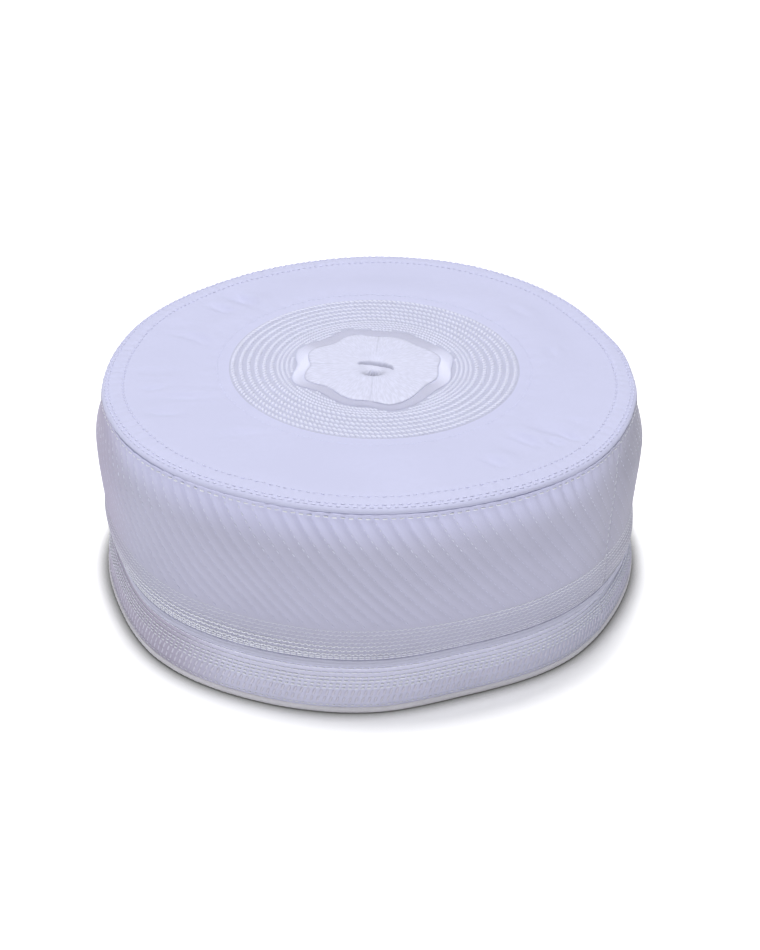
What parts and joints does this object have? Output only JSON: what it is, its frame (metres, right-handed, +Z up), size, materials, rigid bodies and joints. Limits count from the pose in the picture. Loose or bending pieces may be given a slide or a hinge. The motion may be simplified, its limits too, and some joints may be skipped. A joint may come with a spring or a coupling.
{
  "type": "embroidered cap",
  "caption": "Round flat-topped cloth cap with a quilted side wall, a stitched border, a welt and hem band, and a round medallion of stitch rows and a petalled flower on its crown.",
  "frame": {"origin": "on the floor under the middle of the cap's outline, at the flat underside of the hem binding", "axes": "+Z up out of the crown, -Y towards the front of the picture, +X to its right"},
  "size_m": [0.1886, 0.189, 0.0791],
  "materials": {
    "crown_cotton": "plain white cotton, faint weave, soft sheen",
    "row_thread": "white embroidery thread in round rope rows",
    "satin_thread": "white satin stitch, glossy along the thread",
    "flower_thread": "white satin-stitched petals",
    "quilted_cotton": "white cotton with slanting rows of quilting",
    "welt_cotton": "white cotton strip folded over a cord",
    "band_cotton": "white cotton with rows of dashes and slanting stitches",
    "binding_cotton": "white cotton strip folded round the edge"
  },
  "bodies": {
    "root": {"crown": "crown_cotton", "row_stitching": "row_thread", "satin_outline": "satin_thread", "flower": "flower_thread", "side_wall": "quilted_cotton", "welt": "welt_cotton", "lower_band": "band_cotton", "hem_binding": "binding_cotton"}
  },
  "joints": []
}
